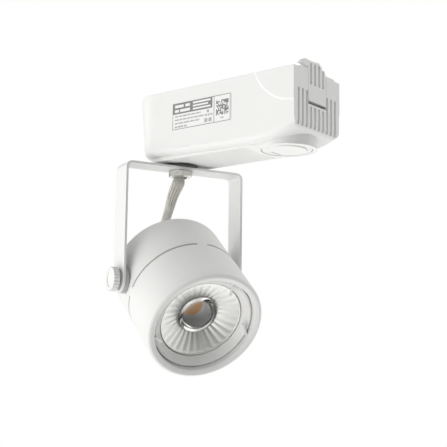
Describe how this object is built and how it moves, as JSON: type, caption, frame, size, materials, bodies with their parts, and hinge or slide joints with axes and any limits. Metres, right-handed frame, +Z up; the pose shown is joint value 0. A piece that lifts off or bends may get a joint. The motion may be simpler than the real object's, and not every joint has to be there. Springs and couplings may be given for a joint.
{
  "type": "track spotlight",
  "caption": "Track-mounted LED spotlight: driver box adapter with end latch and lock dial, panning yoke, tilting cylindrical head and short sleeved cable.",
  "frame": {"origin": "on the centre line of the adapter box's top face, the face that meets the track, 50.75 mm from the ribbed end face", "axes": "+Z up out of the track face; +X along the box towards its ribbed latch end; -Y is the side with the rating label"},
  "size_m": [0.1054, 0.0703, 0.1351],
  "materials": {
    "white_plastic": "satin moulded white plastic",
    "white_paint": "white powder coat",
    "label_film": "printed film",
    "circuit_board": "green solder mask",
    "dark_plastic": "matt black",
    "yellow_film": "yellow film capacitor box",
    "terminal_green": "green terminal block",
    "spring_bronze": "spring bronze",
    "copper": "copper",
    "brass": "machined brass",
    "zinc_steel": "zinc plated",
    "chrome": "nickel chrome plate",
    "grey_nylon": "grey nylon",
    "raw_aluminium": "die cast",
    "board_white": "white solder mask on aluminium",
    "led_phosphor": "phosphor coat",
    "clear_optic": "clear moulded lens",
    "frosted_plastic": "clear moulded holder",
    "cable_sleeve": "woven off-white sleeve"
  },
  "bodies": {
    "adapter": {"adapter_shell": "white_plastic", "adapter_lid": "white_plastic", "lid_screws": "zinc_steel", "rating_label": "label_film", "driver_board": "circuit_board", "transformer": "dark_plastic", "electrolytic_capacitors": "dark_plastic", "filter_capacitor": "yellow_film", "filter_choke": "dark_plastic", "output_terminal": "terminal_green", "latch_spring": "spring_bronze", "pan_nipple": "chrome", "inner_nut": "zinc_steel", "pan_spacer": "dark_plastic", "pan_washer": "zinc_steel", "pan_nut": "chrome"},
    "latch": {"end_latch": "white_plastic"},
    "lock": {"lock_dial": "white_plastic", "lock_shaft": "zinc_steel", "shaft_clip": "zinc_steel", "contact_turret": "white_plastic", "contact_blades": "copper"},
    "yoke": {"yoke_bracket": "white_paint", "outer_washers": "grey_nylon", "supply_cable": "cable_sleeve"},
    "head": {"head_housing": "white_paint", "tilt_inserts": "brass", "tilt_spacers": "grey_nylon", "rear_cover": "white_paint", "rear_cover_screws": "zinc_steel", "cable_gland": "grey_nylon", "heat_sink": "raw_aluminium", "led_board": "board_white", "led_chip": "led_phosphor", "lens": "clear_optic", "lens_holder": "frosted_plastic", "lens_clips": "white_plastic", "front_ring": "white_paint"},
    "left_thumbscrew": {"left_knob": "white_plastic", "left_stud": "zinc_steel"},
    "right_thumbscrew": {"right_knob": "white_plastic", "right_stud": "zinc_steel"}
  },
  "joints": [
    {"name": "pan", "type": "hinge", "parent": "adapter", "child": "yoke", "pos_m": [-0.02615, 0, -0.0332], "axis": [0, 0, 1], "range_deg": [-175, 175], "deforming": ["supply_cable"]},
    {"name": "tilt", "type": "hinge", "parent": "yoke", "child": "head", "pos_m": [-0.02615, 0, -0.087], "axis": [0.4106, 0.9118, 0], "range_deg": [-37.6, 52.4], "deforming": ["supply_cable"]},
    {"name": "left_thumbscrew_turn", "type": "hinge", "parent": "head", "child": "left_thumbscrew", "pos_m": [-0.03929, -0.02918, -0.087], "axis": [-0.4106, -0.9118, 0], "range_deg": [0, 180]},
    {"name": "right_thumbscrew_turn", "type": "hinge", "parent": "head", "child": "right_thumbscrew", "pos_m": [-0.01301, 0.02918, -0.087], "axis": [0.4106, 0.9118, 0], "range_deg": [0, 180]},
    {"name": "lock_turn", "type": "hinge", "parent": "adapter", "child": "lock", "pos_m": [0.03475, 0, -0.03], "axis": [0, 0, 1], "range_deg": [0, 90]},
    {"name": "latch_slide", "type": "slide", "parent": "adapter", "child": "latch", "axis": [0, 0, -1], "range_m": [0, 0.0011], "stiffness_N_per_m": 400, "springref_m": -0.0005, "deforming": ["latch_spring"]}
  ]
}
